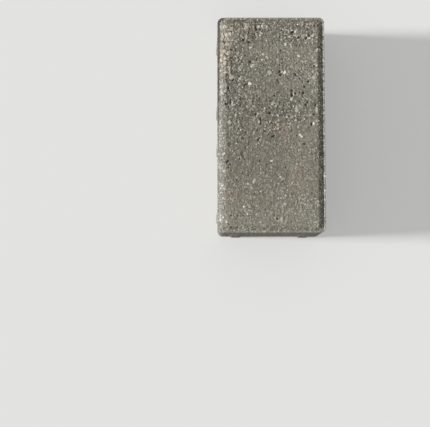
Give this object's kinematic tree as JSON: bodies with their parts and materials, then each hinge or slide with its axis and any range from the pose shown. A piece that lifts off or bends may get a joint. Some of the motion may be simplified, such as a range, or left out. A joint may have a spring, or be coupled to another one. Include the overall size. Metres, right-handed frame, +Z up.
{
  "type": "concrete paving stone",
  "caption": "Rectangular pressed concrete paving stone with bevelled top edges and spacer nibs, laid on a sand bed as paving.",
  "frame": {"origin": "middle of the flat bedding face, on the ground that the stone lies on", "axes": "+Z up to the wearing face, +Y along the stone's long side, +X along its short side"},
  "size_m": [0.1, 0.2, 0.06],
  "materials": {
    "concrete": "matt brown-grey concrete with a fine sandy face"
  },
  "bodies": {
    "root": {"paving_stone": "concrete"}
  },
  "joints": []
}
